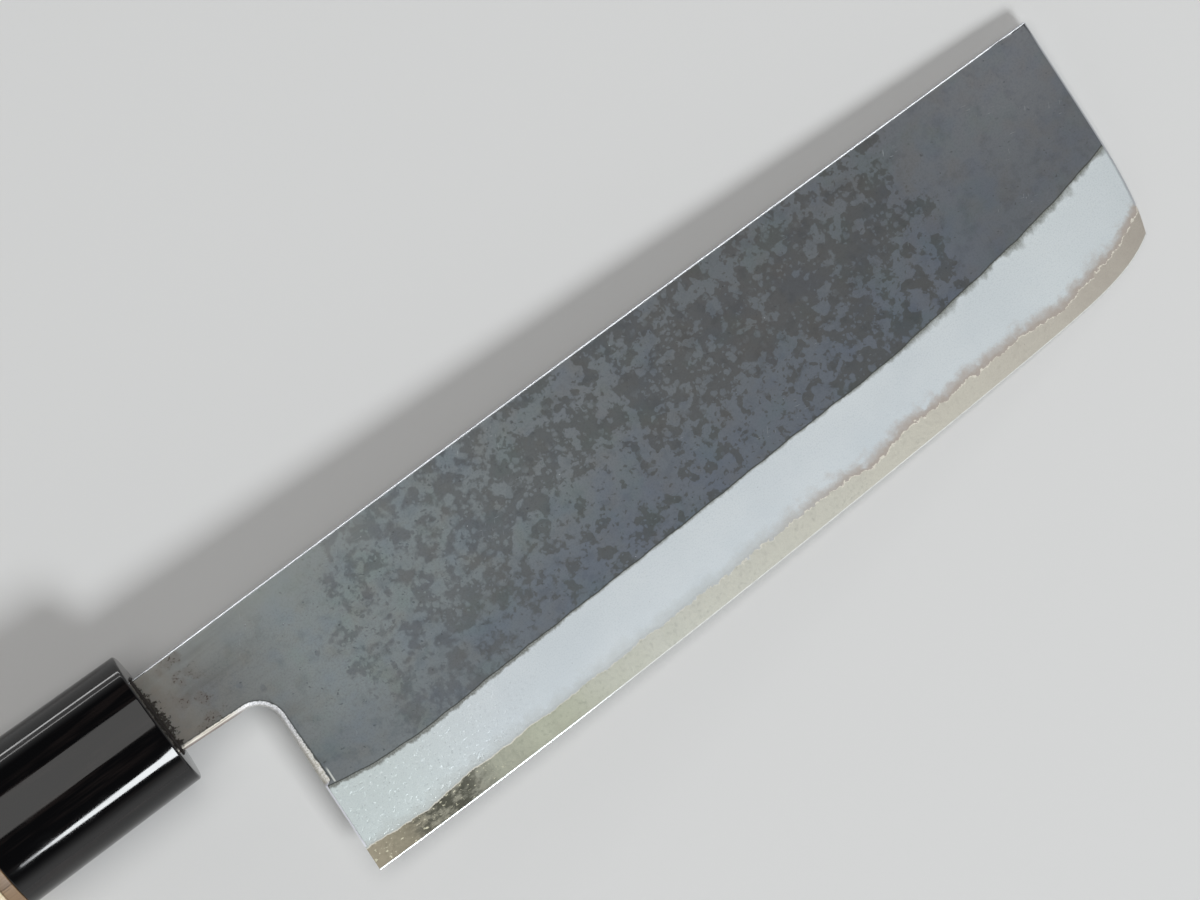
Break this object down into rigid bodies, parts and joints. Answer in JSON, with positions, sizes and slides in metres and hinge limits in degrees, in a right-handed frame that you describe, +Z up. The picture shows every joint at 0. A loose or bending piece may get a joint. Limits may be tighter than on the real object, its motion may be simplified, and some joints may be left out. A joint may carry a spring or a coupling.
{
  "type": "kitchen knife",
  "caption": "Japanese vegetable knife with a tall square-ended laminated blade, black forge scale above a ground bevel, and an oval wooden handle with a black ferrule.",
  "frame": {"origin": "on the table under the middle of the knife's box, as it lies on its left face", "axes": "+X along the knife towards the tip, +Y from the edge towards the spine, +Z up, out of the right face"},
  "size_m": [0.3082, 0.056, 0.0252],
  "materials": {
    "hard_steel": "satin polished carbon steel",
    "black_iron": "soft iron, mottled black forge scale above the ridge, hazy grey bevel below",
    "dark_resin": "dull dark resin",
    "black_horn": "polished black",
    "brown_wood": "fine brown grain",
    "dowel_wood": "plain hardwood",
    "pale_wood": "pale, straight grained, oiled"
  },
  "bodies": {
    "root": {"core_steel": "hard_steel", "cladding_right": "black_iron", "cladding_left": "black_iron", "tang_seal": "dark_resin", "ferrule": "black_horn", "spacer_ring": "brown_wood", "handle_dowel": "dowel_wood", "handle_body": "pale_wood"}
  },
  "joints": []
}
